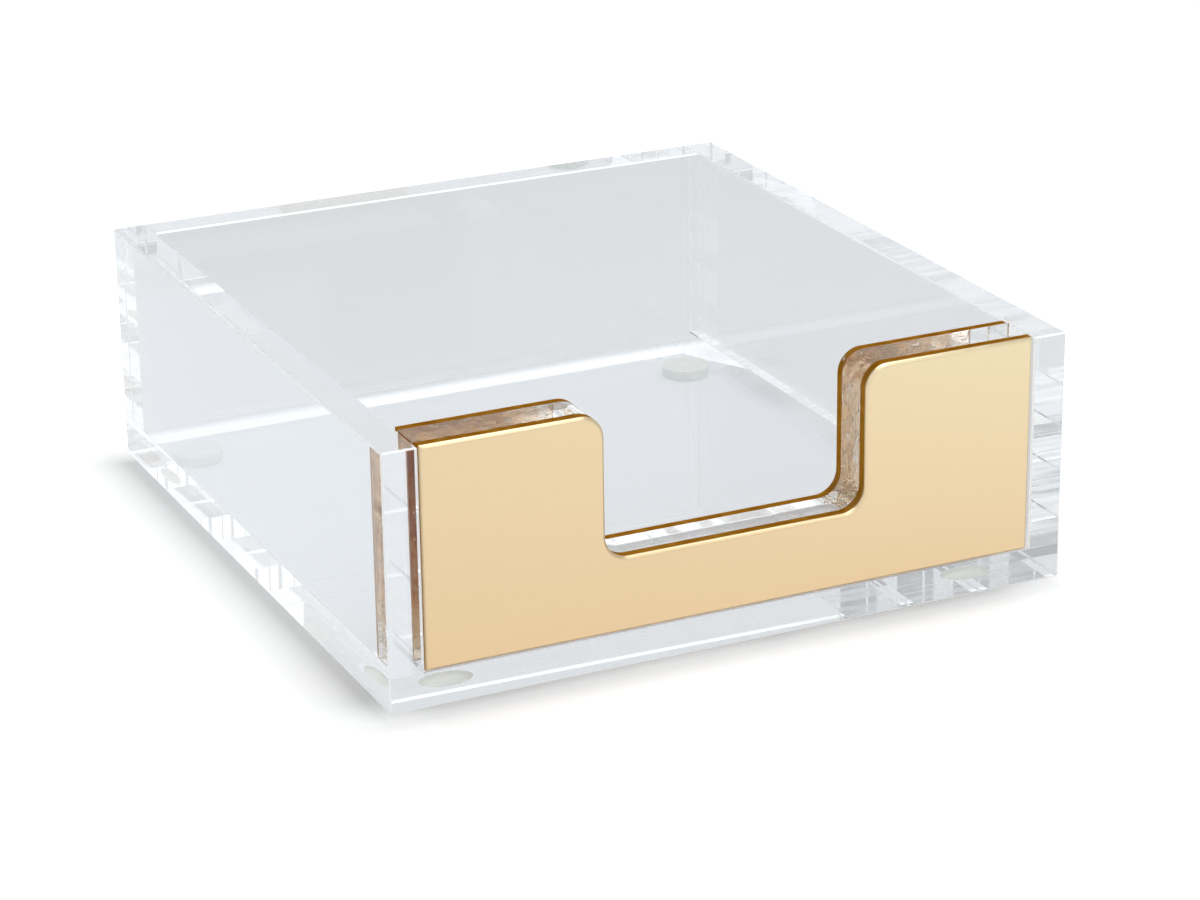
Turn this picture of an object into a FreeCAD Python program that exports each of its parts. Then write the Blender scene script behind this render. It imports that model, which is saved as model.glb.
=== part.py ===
import FreeCAD, Part
import math
import os
from enum import IntEnum

import Sketcher

# Clear acrylic desk tray with a notched, gold-plated front, in millimetres.
# The origin is the centre of the footprint on the surface that the feet stand on.
# +X is the object's right seen from the front, +Y runs to the back and +Z is up.

SIZES = [
    # Overall size of the acrylic box, without its feet
    ("body_width", 120.0),
    ("body_depth", 126.5),
    ("body_height", 43.0),
    # Acrylic sheet that each piece is cut from
    ("base_thickness", 6.0),
    ("side_thickness", 6.0),
    ("back_thickness", 6.0),
    ("front_thickness", 6.0),
    # Gold plates on both faces of the front wall
    ("plate_thickness", 2.0),
    ("plate_side_gap", 0.3),
    # Clear tape pads that bond the plates, placed from the inner faces of the side walls
    ("tape_width", 23.5),
    ("tape_thickness", 0.15),
    ("tape_margin", 0.5),
    ("left_tape_inset", 2.5),
    ("right_tape_inset", 7.3),
    # Finger notch in the front, measured down from the rim
    ("notch_width", 46.0),
    ("notch_depth", 24.4),
    ("mouth_radius", 4.0),
    ("corner_radius", 4.0),
    # Broken edges of the polished acrylic, and of the plates on their outer face
    ("acrylic_chamfer", 0.3),
    ("plate_chamfer", 0.5),
    # Round bumper feet, placed by their centres from the outer faces of the box
    ("foot_diameter", 9.0),
    ("foot_height", 2.0),
    ("foot_side_inset", 13.0),
    ("foot_end_inset", 14.5),
    ("foot_rounding", 0.6),
]

# Sizes that follow from the ones above, each bound to them in the sheet
DERIVED = [
    ("wall_height", "=body_height - base_thickness"),
    ("wall_level", "=foot_height + base_thickness"),
    ("inner_width", "=body_width - 2 * side_thickness"),
    ("plate_width", "=inner_width - 2 * plate_side_gap"),
    ("half_width", "=body_width / 2"),
    ("half_depth", "=body_depth / 2"),
    # Front faces of the layers of the front panel, from the outside in
    ("front_plate_face", "=-half_depth"),
    ("front_tape_face", "=front_plate_face + plate_thickness"),
    ("front_wall_face", "=front_tape_face + tape_thickness"),
    ("rear_tape_face", "=front_wall_face + front_thickness"),
    ("rear_plate_face", "=rear_tape_face + tape_thickness"),
    # Tape pads, cut back from the top and bottom of the plates
    ("tape_height", "=wall_height - 2 * tape_margin"),
    ("tape_level", "=wall_level + tape_margin"),
    ("left_tape_centre", "=left_tape_inset + tape_width / 2 - inner_width / 2"),
    ("right_tape_centre", "=inner_width / 2 - right_tape_inset - tape_width / 2"),
]


class Point(IntEnum):
    """Codes that the sketcher uses for the points of a curve."""

    START = 1
    END = 2
    CENTRE = 3


class Axis(IntEnum):
    """Codes that the sketcher uses for its own axes."""

    X = -1
    Y = -2


START, END = Point.START, Point.END

# Slack, in millimetres, in saying that an edge lies in a side of a box
SLACK = 1e-4


def make_sheet(doc):
    """Write the driving and derived sizes into the spreadsheet."""
    sheet = doc.addObject("Spreadsheet::Sheet", "sizes")
    for row, (name, value) in enumerate(SIZES + DERIVED, start=1):
        sheet.set(f"A{row}", name)
        sheet.set(f"B{row}", str(value))
        sheet.setAlias(f"B{row}", name)
    doc.recompute()
    return sheet


def start_body(doc, name):
    """Add a body whose label is the name of its sub-part."""
    body = doc.addObject("PartDesign::Body", name)
    body.Label = name
    return body


def start_sketch(body, plane_role):
    """Add a sketch on one of the body's own origin planes."""
    planes = [f for f in body.Origin.OriginFeatures if f.Role == plane_role]
    sketch = body.newObject("Sketcher::SketchObject", body.Name + "_outline")
    sketch.AttachmentSupport = [(planes[0], "")]
    sketch.MapMode = "FlatFace"
    return sketch


def bind(sketch, sheet, name, kind, *points_and_size):
    """Add a named dimension to a sketch and bind it to a cell of the sheet."""
    *points, size = points_and_size
    index = sketch.addConstraint(Sketcher.Constraint(kind, *points, float(sheet.get(size))))
    sketch.renameConstraint(index, name)
    sketch.setExpression(f"Constraints.{name}", f"sizes.{size}")


def draw_rectangle(sketch, sheet, width, height):
    """Draw a rectangle that stands on the X axis, centred on Y."""
    half = float(sheet.get(width)) / 2
    top = float(sheet.get(height))
    draw_lines(sketch, [(-half, 0), (half, 0), (half, top), (-half, top)])
    sketch.addConstraint([
        Sketcher.Constraint("Horizontal", 2),
        Sketcher.Constraint("Vertical", 1),
        Sketcher.Constraint("Vertical", 3),
        Sketcher.Constraint("Symmetric", 0, START, 0, END, Axis.Y),
        Sketcher.Constraint("PointOnObject", 0, START, Axis.X),
    ])
    bind(sketch, sheet, "width", "DistanceX", 0, START, 0, END, width)
    bind(sketch, sheet, "height", "DistanceY", 1, START, 1, END, height)


def draw_lines(sketch, corners):
    """Draw a closed chain of straight lines through the corners."""
    points = [FreeCAD.Vector(x, y, 0) for x, y in corners]
    following = points[1:] + points[:1]
    sketch.addGeometry([Part.LineSegment(a, b) for a, b in zip(points, following)])
    count = len(points)
    sketch.addConstraint([
        Sketcher.Constraint("Coincident", line, END, (line + 1) % count, START)
        for line in range(count)
    ])


def quarter_arc(x, y, radius, start_degrees):
    """Make a quarter circle that runs anticlockwise from the given direction."""
    circle = Part.Circle(FreeCAD.Vector(x, y, 0), FreeCAD.Vector(0, 0, 1), radius)
    start = math.radians(start_degrees)
    return Part.ArcOfCircle(circle, start, start + math.radians(90))


def draw_notched_outline(sketch, sheet, width, height, notch_width, notch_depth, mouth, corner):
    """Draw an upright panel that stands on X, with a round-cornered notch in its top."""
    half = float(sheet.get(width)) / 2
    top = float(sheet.get(height))
    side = float(sheet.get(notch_width)) / 2
    floor = top - float(sheet.get(notch_depth))
    outer = float(sheet.get(mouth))
    inner = float(sheet.get(corner))

    def line(x0, y0, x1, y1):
        return Part.LineSegment(FreeCAD.Vector(x0, y0, 0), FreeCAD.Vector(x1, y1, 0))

    sketch.addGeometry([
        line(-half, 0, half, 0),                                # 0 foot of the panel
        line(half, 0, half, top),                               # 1 right end
        line(half, top, side + outer, top),                     # 2 right rim
        quarter_arc(side + outer, top - outer, outer, 90),      # 3 right mouth
        line(side, top - outer, side, floor + inner),           # 4 right side of the notch
        quarter_arc(side - inner, floor + inner, inner, 270),   # 5 right corner
        line(side - inner, floor, inner - side, floor),         # 6 floor of the notch
        quarter_arc(inner - side, floor + inner, inner, 180),   # 7 left corner
        line(-side, floor + inner, -side, top - outer),         # 8 left side of the notch
        quarter_arc(-side - outer, top - outer, outer, 0),      # 9 left mouth
        line(-side - outer, top, -half, top),                   # 10 left rim
        line(-half, top, -half, 0),                             # 11 left end
    ])
    sharp = [(0, END, 1, START), (1, END, 2, START), (10, END, 11, START), (11, END, 0, START)]
    smooth = [
        (2, END, 3, START), (3, END, 4, START), (4, END, 5, END), (5, START, 6, START),
        (6, END, 7, END), (7, START, 8, START), (8, END, 9, START), (9, END, 10, START),
    ]
    sketch.addConstraint([Sketcher.Constraint("Coincident", *ends) for ends in sharp])
    sketch.addConstraint([Sketcher.Constraint("Tangent", *ends) for ends in smooth])
    sketch.addConstraint([Sketcher.Constraint("Horizontal", edge) for edge in (2, 6, 10)])
    sketch.addConstraint([Sketcher.Constraint("Vertical", edge) for edge in (1, 4, 8, 11)])
    sketch.addConstraint([
        Sketcher.Constraint("Symmetric", 0, START, 0, END, Axis.Y),
        Sketcher.Constraint("PointOnObject", 0, START, Axis.X),
        Sketcher.Constraint("Horizontal", 1, END, 11, START),
        Sketcher.Constraint("Symmetric", 4, START, 8, END, Axis.Y),
        Sketcher.Constraint("Equal", 5, 7),
    ])
    bind(sketch, sheet, "width", "DistanceX", 0, START, 0, END, width)
    bind(sketch, sheet, "height", "DistanceY", 1, START, 1, END, height)
    bind(sketch, sheet, "notch_width", "DistanceX", 8, END, 4, START, notch_width)
    bind(sketch, sheet, "notch_depth", "DistanceY", 6, START, 2, START, notch_depth)
    bind(sketch, sheet, "mouth_radius", "Radius", 3, mouth)
    bind(sketch, sheet, "corner_radius", "Radius", 5, corner)


def pad(doc, body, sketch, thickness, reverse=False):
    """Extrude a sketch by a thickness named in the sheet."""
    feature = body.newObject("PartDesign::Pad", body.Name + "_pad")
    feature.Profile = sketch
    feature.Reversed = reverse
    feature.setExpression("Length", f"sizes.{thickness}")
    doc.recompute()
    return feature


def is_smooth(shape, edge):
    """Say whether the two faces beside an edge run into each other without a corner."""
    faces = shape.ancestorsOfType(edge, Part.Face)
    if len(faces) != 2:
        return False
    middle = edge.valueAt((edge.FirstParameter + edge.LastParameter) / 2)
    normals = [face.normalAt(*face.Surface.parameter(middle)) for face in faces]
    return normals[0].isParallel(normals[1], 1e-3)


def lies_in(edge, shape, side):
    """Say whether an edge lies in one side of a shape's box, such as "ZMax"."""
    limit = getattr(shape.BoundBox, side)
    ends = (getattr(edge.BoundBox, side[0] + end) for end in ("Min", "Max"))
    return all(abs(end - limit) < SLACK for end in ends)


def chamfer_sharp_edges(doc, body, base, size, only=None, joints=()):
    """Break the sharp edges of a padded sheet, as its polished edges are.

    Edges in the sides named as joints are left sharp, and with a side named
    as the only one, so are all that aren't in it.
    """
    shape = base.Shape
    names = [
        f"Edge{number}"
        for number, edge in enumerate(shape.Edges, start=1)
        if not is_smooth(shape, edge)
        and not any(lies_in(edge, shape, side) for side in joints)
        and (only is None or lies_in(edge, shape, only))
    ]
    feature = body.newObject("PartDesign::Chamfer", body.Name + "_broken_edges")
    feature.Base = (base, names)
    feature.setExpression("Size", f"sizes.{size}")
    doc.recompute()
    return feature


def place(body, **offsets):
    """Bind the body's position to expressions over the sheet."""
    for axis, expression in offsets.items():
        body.setExpression(f"Placement.Base.{axis}", expression)


def make_base(doc, sheet):
    """Base plate: the full footprint, with all four walls standing on it."""
    body = start_body(doc, "base_plate")
    sketch = start_sketch(body, "XY_Plane")
    draw_rectangle(sketch, sheet, "body_width", "body_depth")
    sheet_pad = pad(doc, body, sketch, "base_thickness")
    chamfer_sharp_edges(doc, body, sheet_pad, "acrylic_chamfer", joints=["ZMax"])
    place(body, y="-sizes.half_depth", z="sizes.foot_height")
    return body


def make_side_wall(doc, sheet, name, left_face):
    """Side wall: runs the full depth, flush with the base and the front plate."""
    body = start_body(doc, name)
    sketch = start_sketch(body, "YZ_Plane")
    draw_rectangle(sketch, sheet, "body_depth", "wall_height")
    sheet_pad = pad(doc, body, sketch, "side_thickness")
    chamfer_sharp_edges(doc, body, sheet_pad, "acrylic_chamfer", joints=["ZMin"])
    place(body, x=left_face, z="sizes.wall_level")
    return body


def make_back_wall(doc, sheet):
    """Back wall: fits between the side walls, flush with their rear ends."""
    body = start_body(doc, "back_wall")
    sketch = start_sketch(body, "XZ_Plane")
    draw_rectangle(sketch, sheet, "inner_width", "wall_height")
    sheet_pad = pad(doc, body, sketch, "back_thickness")
    chamfer_sharp_edges(doc, body, sheet_pad, "acrylic_chamfer", joints=["XMin", "XMax", "ZMin"])
    place(body, y="sizes.half_depth", z="sizes.wall_level")
    return body


def make_front_layer(doc, sheet, name, width, thickness, face, outer_side=None):
    """One notched layer of the front panel, with its front at the given face.

    A plate names its outer side, where its edges are broken.
    """
    body = start_body(doc, name)
    sketch = start_sketch(body, "XZ_Plane")
    draw_notched_outline(
        sketch, sheet, width, "wall_height", "notch_width", "notch_depth", "mouth_radius", "corner_radius",
    )
    sheet_pad = pad(doc, body, sketch, thickness, reverse=True)
    if outer_side:
        chamfer_sharp_edges(doc, body, sheet_pad, "plate_chamfer", only=outer_side)
    place(body, y=f"sizes.{face}", z="sizes.wall_level")
    return body


def make_tape(doc, sheet, name, centre, face):
    """Tape pad that bonds one side of a gold plate to the front wall."""
    body = start_body(doc, name)
    sketch = start_sketch(body, "XZ_Plane")
    draw_rectangle(sketch, sheet, "tape_width", "tape_height")
    pad(doc, body, sketch, "tape_thickness", reverse=True)
    place(body, x=f"sizes.{centre}", y=f"sizes.{face}", z="sizes.tape_level")
    return body


def make_front_panel(doc, sheet):
    """Front panel: an acrylic wall with a gold plate taped to each face."""
    layers = [
        make_front_layer(doc, sheet, "front_gold_plate", "plate_width", "plate_thickness", "front_plate_face", "YMin"),
        make_front_layer(doc, sheet, "front_wall", "inner_width", "front_thickness", "front_wall_face"),
        make_front_layer(doc, sheet, "rear_gold_plate", "plate_width", "plate_thickness", "rear_plate_face", "YMax"),
    ]
    tapes = [
        make_tape(doc, sheet, f"{face}_tape_{side}", f"{side}_tape_centre", f"{face}_tape_face")
        for face in ("front", "rear")
        for side in ("left", "right")
    ]
    return layers + tapes


def make_foot(doc, sheet, name, side_sign, end_sign):
    """Bumper foot: a clear disc with a rounded lower rim, under one corner of the base."""
    body = start_body(doc, name)
    sketch = start_sketch(body, "XY_Plane")
    radius = float(sheet.get("foot_diameter")) / 2
    sketch.addGeometry(Part.Circle(FreeCAD.Vector(), FreeCAD.Vector(0, 0, 1), radius))
    sketch.addConstraint(Sketcher.Constraint("Coincident", 0, Point.CENTRE, Axis.X, START))
    bind(sketch, sheet, "diameter", "Diameter", 0, "foot_diameter")
    disc = pad(doc, body, sketch, "foot_height")
    lower_rim = [
        f"Edge{number}"
        for number, edge in enumerate(disc.Shape.Edges, start=1)
        if edge.Closed and edge.BoundBox.ZMax < disc.Shape.BoundBox.Center.z
    ]
    rounding = body.newObject("PartDesign::Fillet", name + "_rounding")
    rounding.Base = (disc, lower_rim)
    rounding.setExpression("Radius", "sizes.foot_rounding")
    place(
        body,
        x=f"{side_sign}(sizes.half_width - sizes.foot_side_inset)",
        y=f"{end_sign}(sizes.half_depth - sizes.foot_end_inset)",
    )
    doc.recompute()
    return body


def make_feet(doc, sheet):
    """Four feet, one near each corner of the base."""
    ends = (("front", "-"), ("rear", "+"))
    sides = (("left", "-"), ("right", "+"))
    return [
        make_foot(doc, sheet, f"foot_{end}_{side}", side_sign, end_sign)
        for end, end_sign in ends
        for side, side_sign in sides
    ]


def check(doc, bodies):
    """Stop if any object of the document failed or a sub-part has no sound solid."""
    for item in doc.Objects:
        failed = {"Invalid", "Error"} & set(item.State)
        if failed:
            raise RuntimeError(f"{item.Name} is {', '.join(failed)}")
    for body in bodies:
        shape = body.Shape
        if shape.isNull() or not shape.isValid() or len(shape.Solids) != 1:
            raise RuntimeError(f"{body.Label} is not one valid solid")


def main():
    doc = FreeCAD.newDocument("clear_desk_tray")
    sheet = make_sheet(doc)
    bodies = [
        make_base(doc, sheet),
        make_side_wall(doc, sheet, "left_wall", "-sizes.half_width"),
        make_side_wall(doc, sheet, "right_wall", "sizes.inner_width / 2"),
        make_back_wall(doc, sheet),
        *make_front_panel(doc, sheet),
        *make_feet(doc, sheet),
    ]
    doc.recompute()
    check(doc, bodies)
    os.makedirs("parts", exist_ok=True)
    for body in bodies:
        body.Shape.exportStep(os.path.join("parts", body.Label + ".step"))
        box = body.Shape.BoundBox
        print(f"{body.Label}: {box.XMin:.2f} {box.YMin:.2f} {box.ZMin:.2f} to "
              f"{box.XMax:.2f} {box.YMax:.2f} {box.ZMax:.2f}, {body.Shape.Volume:.1f} mm3")


main()
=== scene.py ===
import math

import bmesh
import bpy
from mathutils import Matrix, Vector


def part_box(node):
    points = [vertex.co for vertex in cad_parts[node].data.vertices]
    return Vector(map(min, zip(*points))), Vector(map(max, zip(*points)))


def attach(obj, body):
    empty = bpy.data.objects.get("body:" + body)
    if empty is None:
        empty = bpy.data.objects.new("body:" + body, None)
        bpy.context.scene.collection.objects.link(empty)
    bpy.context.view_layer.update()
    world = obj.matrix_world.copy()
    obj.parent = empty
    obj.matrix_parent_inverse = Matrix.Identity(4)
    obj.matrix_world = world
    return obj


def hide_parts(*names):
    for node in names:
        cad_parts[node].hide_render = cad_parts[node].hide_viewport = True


# Looks of a clear acrylic desk tray with a satin gold front, in metres, in the frame of the
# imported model: +X to the right, +Y to the back, +Z up from the surface it stands on.

MM = 0.001
X, Y, Z = range(3)

# Camera: where it aims, how far it stands off, and its angles
AIM = Vector((3.4, -5.1, 14.7)) * MM
DISTANCE = 616.2 * MM
AZIMUTH = math.radians(-25.14)
ELEVATION = math.radians(20.92)
ROLL = math.radians(-0.81)
LENS = 107.04
SENSOR = 36.0

# Shapes: gaps left at joints, how far the plates' sharp rim reaches in, and the feet's outline
TOUCH = 0.02 * MM
WELD_MARGIN = 0.25 * MM
TAPE_SHARE_OF_GAP = 0.8
RIM_DEPTH = 0.6 * MM
RIM_ROUNDING = 0.15 * MM
FOOT_RADIUS = 4.5 * MM
FOOT_SEGMENTS = 64

# What counts as one flat face, one smooth surface or a sharp rim
FLAT_ANGLE = math.radians(0.5)
SMOOTH_ANGLE = math.radians(25)
RIM_ANGLE = math.radians(30)
CUT_PRECISION = 1e-7

# How far a unit normal reaches along an axis: flat faces reach almost 1, bevels clearly less
FLAT_FACE = 0.9999
ALONG_AXIS = 0.999
BEVEL_BELOW = 0.95
PLATE_FACE_ABOVE = 0.9
PLATE_EDGE_BELOW = 0.1

# Acrylic and the colour that it takes in bulk
ACRYLIC_COLOUR = (0.94, 0.96, 0.984, 1)
ACRYLIC_IOR = 1.49
BUMPER_IOR = 1.49

# Satin gold with painted light, paler to the top and right: how pale it gets at the left, next to the
# right, and how much clouds vary it
GOLD_PAINTED_LIGHT_AT_LEFT = 0.4
GOLD_CLOUDINESS = 0.15

# Saw marks in a weld, as a stretch of their pattern, and the least and most haze in them
MARKS_ALONG_X = (0.15, 1.0, 1.0)
MARKS_ALONG_Y = (1.0, 0.15, 1.0)
CLEAN_HAZE = (0.0, 0.03)
FRONT_HAZE = (0.05, 0.50)
SIDE_HAZE = (0.10, 0.55)

# Milky outer part of the left wall's front end, and how softly it begins
MILKY_END = 3.9 * MM
MILKY_BLEND = 1.0 * MM

# The floor's colour, and its own light as the camera and metal see it
FLOOR_COLOUR = (0.69, 0.69, 0.69, 1)
FLOOR_SEEN = 0.40
FLOOR_HALF_WIDTH = 0.7

# Light that the acrylic throws on the floor: under the whole tray, behind the front wall,
# under the back edge, and round the back right corner
UNDER_TRAY = 0.09
BEHIND_FRONT = 0.90
BEHIND_FRONT_PLACE = 6.0 * MM
BEHIND_FRONT_WIDTH = 6.0 * MM
GLOW = 0.36
GLOW_INSIDE = 3.2 * MM
GLOW_OUTSIDE = 3.0 * MM
CORNER_INSIDE = 8.0 * MM
CORNER_LENGTH = 22.0 * MM
GLOW_SOFTNESS = 0.5 * MM
GLOW_WAVE = 2.0 * MM
GLOW_WAVE_SCALE = 180.0
BACK_EDGE_WAVE = 0.3

# Soft shadow on the floor round the foot of the tray, weaker and shorter in front.
# It fades by a factor of e for each third of its reach.
SHADE = 0.52
SHADE_REACH = 18.0 * MM
SHADE_FADING = 3.0
SHADE_BLEND = 12.0 * MM
FRONT_SHADE = 0.18
FRONT_SHORTER = 0.5

# Brightness of the studio around the tray, as glass and metal see it
IN_FRONT = 1.12
BACK_RIGHT = 0.76
BACK_LEFT = 0.45
OVERHEAD = 0.40

# Parts of the studio, by the height, depth and side of a direction: where each begins and is full
OVERHEAD_RANGE = (0.45, 0.75)
IN_FRONT_RANGE = (-0.15, -0.55)
LEFT_RANGE = (-0.05, -0.30)
STUDIO_TINT = (0.97, 0.99, 1.0, 1)

# Sockets of the mix node when it mixes colours
COLOUR_A, COLOUR_B, COLOUR_RESULT = 6, 7, 2

# Lamps, all aimed at the tray: name, place, side and power
LAMPS = [
    ("overhead", (0.1, -0.05, 0.9), 0.8, 5.0),
    ("left_fill", (-0.9, -0.3, 0.5), 0.5, 0.4),
]

# Light runs the length of the sheets by inner reflection
BOUNCES = 64
TRANSPARENT_BOUNCES = 256

# Material slots of an acrylic piece and of a gold plate
CLEAR, CLEAN_WELD, HAZY_WELD, HAZY_SIDE_WELD, SCRAPED, WETTED, SAWN_END = range(7)
PLATE_FACE, PLATE_EDGE, PLATE_BACK = range(3)
FOOT_WELDS = {
    "left_wall": CLEAN_WELD,
    "right_wall": HAZY_SIDE_WELD,
    "back_wall": CLEAN_WELD,
    "front_wall": HAZY_WELD,
}

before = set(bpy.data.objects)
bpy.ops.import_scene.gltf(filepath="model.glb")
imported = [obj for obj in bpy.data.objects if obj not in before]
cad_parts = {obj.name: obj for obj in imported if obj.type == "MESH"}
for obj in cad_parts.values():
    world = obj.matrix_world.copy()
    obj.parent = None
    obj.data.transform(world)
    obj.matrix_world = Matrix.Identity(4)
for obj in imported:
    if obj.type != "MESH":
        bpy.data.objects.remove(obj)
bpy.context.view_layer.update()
body_low = Vector((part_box("left_wall")[0].x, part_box("left_wall")[0].y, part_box("base_plate")[0].z))
body_high = Vector((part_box("right_wall")[1].x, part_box("right_wall")[1].y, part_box("right_wall")[1].z))


def place_camera():
    """Stand the camera off the aim point by its angles, and roll it."""
    back = Vector((
        math.sin(AZIMUTH) * math.cos(ELEVATION),
        -math.cos(AZIMUTH) * math.cos(ELEVATION),
        math.sin(ELEVATION),
    ))
    right = Vector((0, 0, 1)).cross(back).normalized()
    turn = Matrix((right, back.cross(right), back)).transposed() @ Matrix.Rotation(ROLL, 3, "Z")
    data = bpy.data.cameras.new("camera")
    data.sensor_width = SENSOR
    data.lens = LENS
    data.clip_start = 10 * MM
    camera = bpy.data.objects.new("camera", data)
    camera.matrix_world = Matrix.Translation(AIM + back * DISTANCE) @ turn.to_4x4()
    bpy.context.scene.collection.objects.link(camera)
    bpy.context.scene.camera = camera


# Nodes

def adder(tree):
    """Make a function that adds a node to a tree, with its inputs set or linked."""

    def add(kind, inputs=None, **settings):
        node = tree.nodes.new(kind)
        for key, value in settings.items():
            setattr(node, key, value)
        for key, value in (inputs or {}).items():
            if isinstance(value, bpy.types.NodeSocket):
                tree.links.new(value, node.inputs[key])
            else:
                node.inputs[key].default_value = value
        return node

    return add


def new_material(name):
    """Make an empty node material and return it with the function that adds its nodes."""
    material = bpy.data.materials.new(name)
    material.use_nodes = True
    material.node_tree.nodes.clear()
    return material, adder(material.node_tree)


def compute(add, operation, first, second=0.0):
    """Add arithmetic on one or two values."""
    return add("ShaderNodeMath", {0: first, 1: second}, operation=operation).outputs[0]


def rise(add, value, start, end):
    """Add a soft step, from 0 at the start to 1 at the end."""
    settings = {"Value": value, "From Min": start, "From Max": end}
    return add("ShaderNodeMapRange", settings, interpolation_type="SMOOTHSTEP").outputs["Result"]


def mix(add, factor, first, second):
    """Add a blend of two values."""
    return add("ShaderNodeMix", {"Factor": factor, "A": first, "B": second}).outputs["Result"]


def ramp(add, factor, stops):
    """Add a colour ramp over the factor, from (position, grey or colour) stops."""
    node = add("ShaderNodeValToRGB", {"Fac": factor})
    elements = node.color_ramp.elements
    while len(elements) < len(stops):
        elements.new(0.5)
    for element, (position, value) in zip(elements, stops):
        element.position = position
        element.color = (value, value, value, 1) if isinstance(value, float) else (*value, 1)
    return node.outputs["Color"]


def noise(add, scale, detail=2.0, stretch=None):
    """Add a noise pattern over the object's own coordinates, in metres."""
    place = add("ShaderNodeTexCoord").outputs["Object"]
    if stretch:
        place = add("ShaderNodeMapping", {"Vector": place, "Scale": stretch}).outputs["Vector"]
    return add("ShaderNodeTexNoise", {"Vector": place, "Scale": scale, "Detail": detail}).outputs["Fac"]


def object_place(add):
    """Add a point's own X, Y and Z on its object."""
    place = add("ShaderNodeTexCoord").outputs["Object"]
    return add("ShaderNodeSeparateXYZ", {"Vector": place}).outputs


def lamp_ray(add):
    """Add a test for rays that carry a lamp's light, rather than a view."""
    path = add("ShaderNodeLightPath").outputs
    return compute(add, "MAXIMUM", path["Is Shadow Ray"], path["Is Diffuse Ray"])


def finish_surface(add, surface):
    """Put a surface out as the material's."""
    add("ShaderNodeOutputMaterial", {"Surface": surface.outputs[0]})


def lit_through(add, surface, colour):
    """Put a surface out that lets lamps shine through, dimmed to the given colour."""
    clear = add("ShaderNodeBsdfTransparent", {"Color": (*colour, 1)})
    inputs = {0: lamp_ray(add), 1: surface.outputs[0], 2: clear.outputs[0]}
    finish_surface(add, add("ShaderNodeMixShader", inputs))


# Materials

def acrylic_glass(add, roughness):
    """Add the clear shader that all polished acrylic shares."""
    return add("ShaderNodeBsdfPrincipled", {
        "Base Color": ACRYLIC_COLOUR,
        "Roughness": roughness,
        "IOR": ACRYLIC_IOR,
        "Transmission Weight": 1.0,
    })


def acrylic_material():
    """Clear cast acrylic with a faint cool tint and barely uneven polish."""
    material, add = new_material("clear_acrylic")
    polish = ramp(add, noise(add, scale=60.0, detail=3.0), [(0.4, 0.0), (0.75, 0.015)])
    lit_through(add, acrylic_glass(add, polish), (0.985, 0.988, 0.992))
    return material


def scraped_material():
    """Edge of the acrylic scraped to a small bevel, which stays faintly frosted."""
    material, add = new_material("scraped_acrylic")
    frost = ramp(add, noise(add, scale=500.0, detail=3.0), [(0.3, 0.30), (0.7, 0.50)])
    surface = add("ShaderNodeBsdfPrincipled", {
        "Base Color": (0.97, 0.98, 0.985, 1),
        "Roughness": frost,
        "IOR": ACRYLIC_IOR,
        "Transmission Weight": 0.35,
    })
    lit_through(add, surface, (0.9, 0.9, 0.9))
    return material


def weld_material(name, stretch, haze_range):
    """A face inside a weld: both sheets are one there, but for haze along the saw's marks."""
    material, add = new_material(name)
    least, most = haze_range
    marks = noise(add, scale=300.0, detail=3.0, stretch=stretch)
    haze = ramp(add, marks, [(0.40, least), (0.60, most)])
    finish_surface(add, add("ShaderNodeBsdfPrincipled", {
        "Base Color": (0.96, 0.97, 0.98, 1), "Roughness": 0.6, "Alpha": haze,
    }))
    return material


def sawn_material():
    """Front end of the left wall, whose outer part is left milky by the polisher."""
    material, add = new_material("sawn_acrylic")
    aside = compute(add, "ABSOLUTE", object_place(add)["X"])
    begin = body_high.x - MILKY_END
    milky = add("ShaderNodeMapRange", {
        "Value": aside, "From Min": begin - MILKY_BLEND / 2, "From Max": begin + MILKY_BLEND / 2,
    })
    cloud = noise(add, scale=160.0, stretch=(1.0, 1.0, 1.5))
    streaks = ramp(add, cloud, [(0.35, 0.58), (0.65, 0.72)])
    share = compute(add, "MULTIPLY", milky.outputs[0], streaks)
    glass = acrylic_glass(add, 0.0)
    milk = add("ShaderNodeBsdfPrincipled", {"Base Color": (0.87, 0.885, 0.92, 1), "Roughness": 0.45})
    surface = add("ShaderNodeMixShader", {0: share, 1: glass.outputs[0], 2: milk.outputs[0]})
    lit_through(add, surface, (0.95, 0.95, 0.96))
    return material


def wetted_material():
    """Acrylic against the tape: gold shows where the glue has wetted it, glass where it hasn't."""
    material, add = new_material("wetted_acrylic")
    patches = noise(add, scale=420.0, detail=4.0)
    dry = ramp(add, patches, [(0.35, 0.1), (0.55, 0.25), (0.60, 0.5), (0.64, 1.0)])
    clear = add("ShaderNodeBsdfTransparent")
    glass = acrylic_glass(add, 0.0)
    share = mix(add, lamp_ray(add), dry, 0.0)
    finish_surface(add, add("ShaderNodeMixShader", {0: share, 1: clear.outputs[0], 2: glass.outputs[0]}))
    return material


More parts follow.
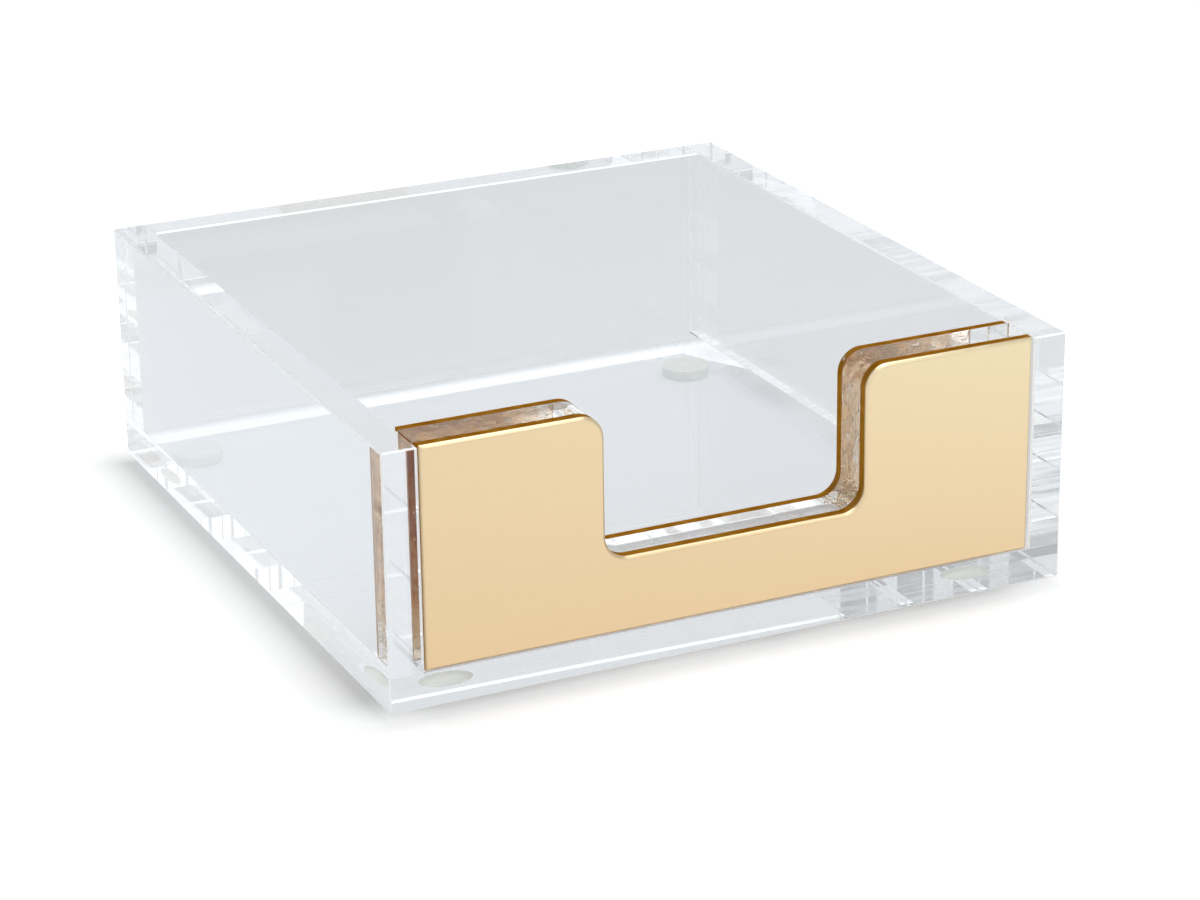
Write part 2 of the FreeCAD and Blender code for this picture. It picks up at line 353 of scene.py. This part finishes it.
def gold_material():
    """Satin gold with a fine grain, and painted light and shade: paler towards the top and the right,
    deeper towards the foot and the left.
    """
    material, add = new_material("satin_gold")
    grain = noise(add, scale=900.0, detail=4.0)
    cloud = noise(add, scale=18.0)
    place = object_place(add)
    # Painted light and shade: the gold gets paler with height and towards the right, deeper at the foot
    # and the left
    height = add("ShaderNodeMapRange", {
        "Value": place["Z"], "From Min": body_low.z, "From Max": body_high.z,
    })
    side = add("ShaderNodeMapRange", {
        "Value": place["X"], "From Min": body_low.x, "From Max": body_high.x,
        "To Min": GOLD_PAINTED_LIGHT_AT_LEFT, "To Max": 1.0,
    })
    pale = compute(add, "MULTIPLY", height.outputs[0], side.outputs[0])
    tone = mix(add, GOLD_CLOUDINESS, pale, cloud)
    colour = ramp(add, tone, [(0.10, (0.705, 0.522, 0.315)), (0.9, (0.775, 0.655, 0.43))])
    roughness = ramp(add, grain, [(0.2, 0.30), (0.8, 0.42)])
    bump = add("ShaderNodeBump", {"Height": grain, "Strength": 0.08, "Distance": 0.1 * MM})
    finish_surface(add, add("ShaderNodeBsdfPrincipled", {
        "Base Color": colour, "Metallic": 1.0, "Roughness": roughness, "Normal": bump.outputs[0],
    }))
    return material


def edge_material():
    """Cut edge of the gold plate: dark amber."""
    material, add = new_material("plate_edge")
    streaks = noise(add, scale=500.0, detail=3.0)
    colour = ramp(add, streaks, [(0.3, (0.33, 0.145, 0.018)), (0.7, (0.49, 0.245, 0.05))])
    roughness = ramp(add, streaks, [(0.3, 0.30), (0.7, 0.45)])
    finish_surface(add, add("ShaderNodeBsdfPrincipled", {
        "Base Color": colour,
        "Metallic": 1.0,
        "Roughness": roughness,
        "Specular Tint": (0.7, 0.45, 0.2, 1),
    }))
    return material


def backing_material():
    """Inner face of the gold plate: smoother than the outer one."""
    material, add = new_material("plate_backing")
    cloud = noise(add, scale=300.0, detail=3.0)
    colour = ramp(add, cloud, [(0.3, (0.94, 0.79, 0.61)), (0.7, (0.98, 0.87, 0.71))])
    roughness = ramp(add, cloud, [(0.3, 0.03), (0.7, 0.10)])
    finish_surface(add, add("ShaderNodeBsdfPrincipled", {
        "Base Color": colour, "Metallic": 1.0, "Roughness": roughness,
    }))
    return material


def tape_material():
    """Clear tape, with small pale bubbles in its glue."""
    material, add = new_material("clear_tape")
    bubbles = ramp(add, noise(add, scale=700.0, detail=3.0), [(0.60, 0.0), (0.70, 0.3)])
    finish_surface(add, add("ShaderNodeBsdfPrincipled", {
        "Base Color": (0.95, 0.93, 0.90, 1), "Roughness": 0.4, "Alpha": bubbles,
    }))
    return material


def bumper_material():
    """Soft translucent polyurethane."""
    material, add = new_material("bumper")
    cloud = noise(add, scale=400.0)
    tone = ramp(add, cloud, [(0.3, (0.74, 0.755, 0.715)), (0.7, (0.79, 0.805, 0.765))])
    surface = add("ShaderNodeBsdfPrincipled", {
        "Base Color": tone, "Roughness": 0.35, "IOR": BUMPER_IOR, "Transmission Weight": 0.25,
    })
    lit_through(add, surface, (0.85, 0.86, 0.83))
    return material


# Pieces

def sheet_mesh(node):
    """Open the mesh of a CAD node with its flat faces whole, in place of triangles."""
    mesh = bmesh.new()
    mesh.from_mesh(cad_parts[node].data)
    bmesh.ops.remove_doubles(mesh, verts=mesh.verts, dist=TOUCH / 4)
    bmesh.ops.dissolve_limit(mesh, angle_limit=FLAT_ANGLE, verts=mesh.verts, edges=mesh.edges)
    return mesh


def find_face(mesh, axis, sign):
    """The largest face that looks along an axis."""
    facing = [f for f in mesh.faces if f.normal[axis] * sign > ALONG_AXIS]
    return max(facing, key=lambda f: f.calc_area())


def split_faces(mesh, faces, axis, level):
    """Cut faces where a plane across an axis meets them, and return all the parts."""
    normal, point = Vector((0, 0, 0)), Vector((0, 0, 0))
    normal[axis], point[axis] = 1, level
    geometry = set(faces)
    for face in faces:
        geometry.update(face.edges, face.verts)
    made = bmesh.ops.bisect_plane(
        mesh, geom=list(geometry), dist=CUT_PRECISION, plane_co=point, plane_no=normal,
    )
    return [item for item in made["geom"] if isinstance(item, bmesh.types.BMFace)]


def weld_zone(node):
    """Box of a wall less the thin strip along its inner edges that cement hasn't filled."""
    low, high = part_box(node)
    for axis in range(3):
        if low[axis] > body_low[axis] + TOUCH:
            low[axis] += WELD_MARGIN
        if high[axis] < body_high[axis] - TOUCH:
            high[axis] -= WELD_MARGIN
    return low, high


def part_from(mesh, node, axis, sign):
    """Draw a face of a piece back a hair from the sheet that it is joined to."""
    low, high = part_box(node)
    for vertex in mesh.verts:
        if sign < 0:
            vertex.co[axis] = max(vertex.co[axis], low[axis] + TOUCH)
        else:
            vertex.co[axis] = min(vertex.co[axis], high[axis] - TOUCH)


def mark_scraped(mesh):
    """Give the bevelled edges of a sheet their own material."""
    for face in mesh.faces:
        if max(abs(value) for value in face.normal) < BEVEL_BELOW:
            face.material_index = SCRAPED


def mark_boxes(mesh, face, marks):
    """Give the parts of a flat face that touch boxes other materials, from (box, index) pairs."""
    normal = face.normal.copy()
    across = max(range(3), key=lambda axis: abs(normal[axis]))
    first, second = [axis for axis in range(3) if axis != across]
    parts = [face]
    for box, _ in marks:
        for corner in box:
            parts = split_faces(mesh, parts, first, corner[first])
    for (low, high), index in marks:
        strip = [p for p in parts if low[first] < p.calc_center_bounds()[first] < high[first]]
        rest = [p for p in parts if p not in strip]
        for corner in (low, high):
            strip = split_faces(mesh, strip, second, corner[second])
        for part in strip:
            if low[second] < part.calc_center_bounds()[second] < high[second]:
                part.material_index = index
        parts = rest + strip


def mark_circles(mesh, face, circles, index):
    """Cut circles into a flat face and give what lies inside them another material."""
    normal = face.normal.copy()
    edges = list(face.edges)
    mesh.faces.remove(face)
    loops = []
    for outline in circles:
        corners = [mesh.verts.new(point) for point in outline]
        loops.append(corners)
        edges += [mesh.edges.new((a, b)) for a, b in zip(corners, corners[1:] + corners[:1])]
    made = bmesh.ops.triangle_fill(mesh, use_beauty=True, use_dissolve=False, edges=edges, normal=normal)
    fill = [f for f in made["geom"] if isinstance(f, bmesh.types.BMFace)]
    for corners in loops:
        welded = mesh.faces.new(corners)
        welded.material_index = index
        fill.append(welded)
    for filled in fill:
        filled.normal_update()
        if filled.normal.dot(normal) < 0:
            filled.normal_flip()


def circle(centre, level, radius):
    """Corners of a horizontal circle."""
    step = math.tau / FOOT_SEGMENTS
    return [
        Vector((centre.x + radius * math.cos(i * step), centre.y + radius * math.sin(i * step), level))
        for i in range(FOOT_SEGMENTS)
    ]


def finish_piece(mesh, node, materials):
    """Turn a mesh into the piece that stands for a CAD node."""
    data = bpy.data.meshes.new(node + "_piece")
    mesh.to_mesh(data)
    mesh.free()
    for material in materials:
        data.materials.append(material)
    data.shade_smooth()
    data.set_sharp_from_angle(angle=SMOOTH_ANGLE)
    for polygon in data.polygons:
        polygon.use_smooth = max(abs(value) for value in polygon.normal) < FLAT_FACE
    piece = bpy.data.objects.new(node + "_piece", data)
    bpy.context.scene.collection.objects.link(piece)
    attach(piece, "root")
    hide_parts(node)


def foot_nodes():
    """Names of the four bumper feet."""
    return [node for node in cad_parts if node.startswith("foot")]


def base_piece(materials):
    """Base plate, welded to the walls above and to the feet below."""
    mesh = sheet_mesh("base_plate")
    mark_scraped(mesh)
    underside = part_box("base_plate")[0].z
    welds = [(weld_zone(wall), weld) for wall, weld in FOOT_WELDS.items()]
    mark_boxes(mesh, find_face(mesh, Z, 1), welds)
    feet = []
    for node in foot_nodes():
        low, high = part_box(node)
        feet.append(circle((low + high) / 2, underside, FOOT_RADIUS))
    mark_circles(mesh, find_face(mesh, Z, -1), feet, CLEAN_WELD)
    finish_piece(mesh, "base_plate", materials)


def side_piece(node, inward, materials):
    """Side wall, welded to the base and to the ends of the front and back walls."""
    mesh = sheet_mesh(node)
    mark_scraped(mesh)
    part_from(mesh, node, Z, -1)
    if node == "left_wall":
        find_face(mesh, Y, -1).material_index = SAWN_END
    ends = [(weld_zone(wall), CLEAN_WELD) for wall in ("front_wall", "back_wall")]
    mark_boxes(mesh, find_face(mesh, X, inward), ends)
    mark_boxes(mesh, find_face(mesh, Z, -1), [(weld_zone(node), FOOT_WELDS[node])])
    finish_piece(mesh, node, materials)


def cross_mesh(node):
    """Mesh of a wall between the side walls, welded to them and to the base."""
    mesh = sheet_mesh(node)
    for axis, sign, weld in ((X, 1, CLEAN_WELD), (X, -1, CLEAN_WELD), (Z, -1, FOOT_WELDS[node])):
        part_from(mesh, node, axis, sign)
        mark_boxes(mesh, find_face(mesh, axis, sign), [(weld_zone(node), weld)])
    return mesh


def back_piece(materials):
    """Back wall, welded to the base and to both side walls."""
    mesh = cross_mesh("back_wall")
    mark_scraped(mesh)
    finish_piece(mesh, "back_wall", materials)


def front_piece(materials):
    """Front wall, welded at its ends and foot and taped to a plate on each face."""
    mesh = cross_mesh("front_wall")
    for sign, face in ((-1, "front"), (1, "rear")):
        pads = [(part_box(face + "_tape" + side), WETTED) for side in ("_left", "_right")]
        mark_boxes(mesh, find_face(mesh, Y, sign), pads)
    finish_piece(mesh, "front_wall", materials)


def tape_piece(node, materials):
    """Tape pad, a hair thinner than its gap so that its faces stand apart."""
    mesh = sheet_mesh(node)
    low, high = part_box(node)
    middle = (low.y + high.y) / 2
    for vertex in mesh.verts:
        vertex.co.y = middle + (vertex.co.y - middle) * TAPE_SHARE_OF_GAP
    finish_piece(mesh, node, materials)


def plate_piece(node, outward, materials):
    """Gold plate: satin outside and on its rounded rim, amber on its cut edge, smoother inside."""
    mesh = sheet_mesh(node)
    low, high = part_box(node)
    outer = low.y if outward < 0 else high.y
    for vertex in mesh.verts:
        vertex.co.z = max(vertex.co.z, low.z + TOUCH)
    rim = [
        edge for edge in mesh.edges
        if len(edge.link_faces) == 2 and edge.calc_face_angle(0.0) > RIM_ANGLE
        and all(abs(v.co.y - outer) < RIM_DEPTH for v in edge.verts)
    ]
    bmesh.ops.bevel(mesh, geom=rim, offset=RIM_ROUNDING, segments=3, profile=0.5, affect="EDGES")
    for face in mesh.faces:
        if face.normal.y * outward < -PLATE_FACE_ABOVE:
            face.material_index = PLATE_BACK
        elif abs(face.normal.y) < PLATE_EDGE_BELOW:
            face.material_index = PLATE_EDGE
    finish_piece(mesh, node, materials)


def foot_piece(node, materials):
    """Bumper foot, stuck to the base over its whole top."""
    mesh = sheet_mesh(node)
    part_from(mesh, node, Z, 1)
    finish_piece(mesh, node, materials)


def make_pieces():
    """Make all the pieces with their materials."""
    welds = [
        weld_material("clean_weld", MARKS_ALONG_X, CLEAN_HAZE),
        weld_material("hazy_weld", MARKS_ALONG_Y, FRONT_HAZE),
        weld_material("hazy_side_weld", MARKS_ALONG_X, SIDE_HAZE),
    ]
    acrylic = [acrylic_material(), *welds, scraped_material(), wetted_material(), sawn_material()]
    gold = [gold_material(), edge_material(), backing_material()]
    tape = [tape_material()]
    bumper = [bumper_material()]
    base_piece(acrylic)
    side_piece("left_wall", 1, acrylic)
    side_piece("right_wall", -1, acrylic)
    back_piece(acrylic)
    front_piece(acrylic)
    for node in [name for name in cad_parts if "_tape_" in name]:
        tape_piece(node, tape)
    for node in foot_nodes():
        foot_piece(node, bumper)
    plate_piece("front_gold_plate", -1, gold)
    plate_piece("rear_gold_plate", 1, gold)


# Stage and light

def floor_glow(add, x, y, away):
    """Light that the acrylic throws on the floor, which only rays through it see."""
    behind = compute(add, "SUBTRACT", y, body_high.y)
    aside = compute(add, "SUBTRACT", x, body_high.x)
    place = add("ShaderNodeNewGeometry").outputs["Position"]
    wave = add("ShaderNodeTexNoise", {"Vector": place, "Scale": GLOW_WAVE_SCALE, "Detail": 2.0})
    wave = compute(add, "SUBTRACT", wave.outputs["Fac"], 0.5)
    wave = compute(add, "MULTIPLY", wave, GLOW_WAVE)

    # Strip under the back edge
    edge = compute(add, "ADD", behind, compute(add, "MULTIPLY", wave, BACK_EDGE_WAVE))
    within = compute(add, "LESS_THAN", compute(add, "ABSOLUTE", x), body_high.x)
    strip = rise(add, edge, -GLOW_INSIDE - GLOW_SOFTNESS, -GLOW_INSIDE)
    back_strip = compute(add, "MULTIPLY", strip, within)

    # Tongue round the back right corner, wider towards the back
    depth = rise(add, behind, -CORNER_LENGTH, -GLOW_INSIDE)
    depth = compute(add, "MULTIPLY", depth, CORNER_INSIDE)
    edge = compute(add, "ADD", compute(add, "ADD", aside, depth), wave)
    within = compute(add, "LESS_THAN", aside, -2 * GLOW_SOFTNESS)
    corner = compute(add, "MULTIPLY", rise(add, edge, 0.0, GLOW_SOFTNESS), within)
    fade = compute(add, "SUBTRACT", 1.0, rise(add, behind, 0.0, GLOW_OUTSIDE))
    glow = compute(add, "MULTIPLY", compute(add, "MAXIMUM", back_strip, corner), fade)
    glow = compute(add, "MULTIPLY", glow, GLOW)

    # Strip behind the front wall, over an even glow under the whole tray
    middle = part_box("front_wall")[1].y + BEHIND_FRONT_PLACE
    from_middle = compute(add, "ABSOLUTE", compute(add, "SUBTRACT", y, middle))
    strip = rise(add, from_middle, BEHIND_FRONT_WIDTH, BEHIND_FRONT_WIDTH / 2)
    under = compute(add, "ADD", compute(add, "MULTIPLY", strip, BEHIND_FRONT), UNDER_TRAY)
    under = compute(add, "MULTIPLY", compute(add, "LESS_THAN", away, TOUCH), under)
    return compute(add, "ADD", glow, under)


def floor_shade(add, y, across, away):
    """Soft shadow round the foot, which is weaker and shorter in front."""
    ahead = compute(add, "MAXIMUM", compute(add, "SUBTRACT", body_low.y, y), 0.0)
    past_front = rise(add, y, body_low.y, body_low.y + SHADE_BLEND)
    beside = compute(add, "MAXIMUM", rise(add, across, 0.0, SHADE_BLEND), past_front)
    depth = mix(add, beside, FRONT_SHADE, SHADE)
    spread = compute(add, "ADD", away, compute(add, "MULTIPLY", ahead, FRONT_SHORTER))
    fading = compute(add, "MULTIPLY", spread, -SHADE_FADING / SHADE_REACH)
    return compute(add, "MULTIPLY", compute(add, "EXPONENT", fading), depth)


def beyond(add, value, limit):
    """How far a coordinate lies outside the tray's footprint, on either side."""
    outside = compute(add, "SUBTRACT", compute(add, "ABSOLUTE", value), limit)
    return compute(add, "MAXIMUM", outside, 0.0)


def floor_material():
    """Pale matt floor with a light of its own, so that it shows white and keeps a shadow."""
    material, add = new_material("floor")
    place = add("ShaderNodeNewGeometry").outputs["Position"]
    parts = add("ShaderNodeSeparateXYZ", {"Vector": place}).outputs
    x, y = parts["X"], parts["Y"]
    across = beyond(add, x, body_high.x)
    along = beyond(add, y, body_high.y)
    squares = [compute(add, "MULTIPLY", value, value) for value in (across, along)]
    away = compute(add, "SQRT", compute(add, "ADD", *squares))
    path = add("ShaderNodeLightPath").outputs
    by_camera = compute(add, "SUBTRACT", FLOOR_SEEN, floor_shade(add, y, across, away))
    by_camera = compute(add, "MULTIPLY", path["Is Camera Ray"], by_camera)
    by_metal = compute(add, "MULTIPLY", path["Is Glossy Ray"], FLOOR_SEEN)
    seen = compute(add, "ADD", by_camera, by_metal)
    strength = mix(add, path["Is Transmission Ray"], seen, floor_glow(add, x, y, away))
    light = add("ShaderNodeEmission", {"Color": (1, 1, 1, 1), "Strength": strength})
    matt = add("ShaderNodeBsdfDiffuse", {"Color": FLOOR_COLOUR})
    finish_surface(add, add("ShaderNodeAddShader", {0: light.outputs[0], 1: matt.outputs[0]}))
    return material


def make_floor():
    """Lay the floor that the tray stands on."""
    mesh = bmesh.new()
    bmesh.ops.create_grid(mesh, x_segments=8, y_segments=8, size=FLOOR_HALF_WIDTH)
    data = bpy.data.meshes.new("floor")
    mesh.to_mesh(data)
    mesh.free()
    floor = bpy.data.objects.new("floor", data)
    bpy.context.scene.collection.objects.link(floor)
    data.materials.append(floor_material())


def make_world():
    """A pale studio: white in front, grey behind, darker at the back left and overhead."""
    world = bpy.data.worlds.new("studio")
    world.use_nodes = True
    tree = world.node_tree
    add = adder(tree)
    direction = add("ShaderNodeTexCoord").outputs["Generated"]
    parts = add("ShaderNodeSeparateXYZ", {"Vector": direction}).outputs
    overhead = rise(add, parts["Z"], *OVERHEAD_RANGE)
    in_front = rise(add, parts["Y"], *IN_FRONT_RANGE)
    at_left = rise(add, parts["X"], *LEFT_RANGE)
    behind = mix(add, at_left, BACK_RIGHT, BACK_LEFT)
    level = mix(add, in_front, mix(add, overhead, behind, OVERHEAD), IN_FRONT)
    seen = add("ShaderNodeLightPath").outputs["Is Camera Ray"]
    colours = {"Factor": seen, COLOUR_A: STUDIO_TINT, COLOUR_B: (1, 1, 1, 1)}
    tint = add("ShaderNodeMix", colours, data_type="RGBA")
    background = tree.nodes["Background"]
    tree.links.new(tint.outputs[COLOUR_RESULT], background.inputs["Color"])
    tree.links.new(mix(add, seen, level, 1.0), background.inputs["Strength"])
    bpy.context.scene.world = world


def make_lamp(name, place, side, power):
    """A large soft square lamp, aimed at the tray."""
    data = bpy.data.lights.new(name, "AREA")
    data.shape = "SQUARE"
    data.size = side
    data.energy = power
    lamp = bpy.data.objects.new(name, data)
    lamp.location = place
    lamp.rotation_euler = (-Vector(place)).to_track_quat("-Z", "Y").to_euler()
    bpy.context.scene.collection.objects.link(lamp)


def set_bounces():
    """Raise the bounces so that light isn't lost inside the sheets."""
    cycles = bpy.context.scene.cycles
    cycles.max_bounces = BOUNCES
    cycles.glossy_bounces = BOUNCES
    cycles.transmission_bounces = BOUNCES
    cycles.transparent_max_bounces = TRANSPARENT_BOUNCES


def main():
    """Set the stage and dress the frame."""
    bpy.context.scene.view_settings.view_transform = "Standard"
    place_camera()
    make_floor()
    make_world()
    for lamp in LAMPS:
        make_lamp(*lamp)
    set_bounces()
    make_pieces()


main()
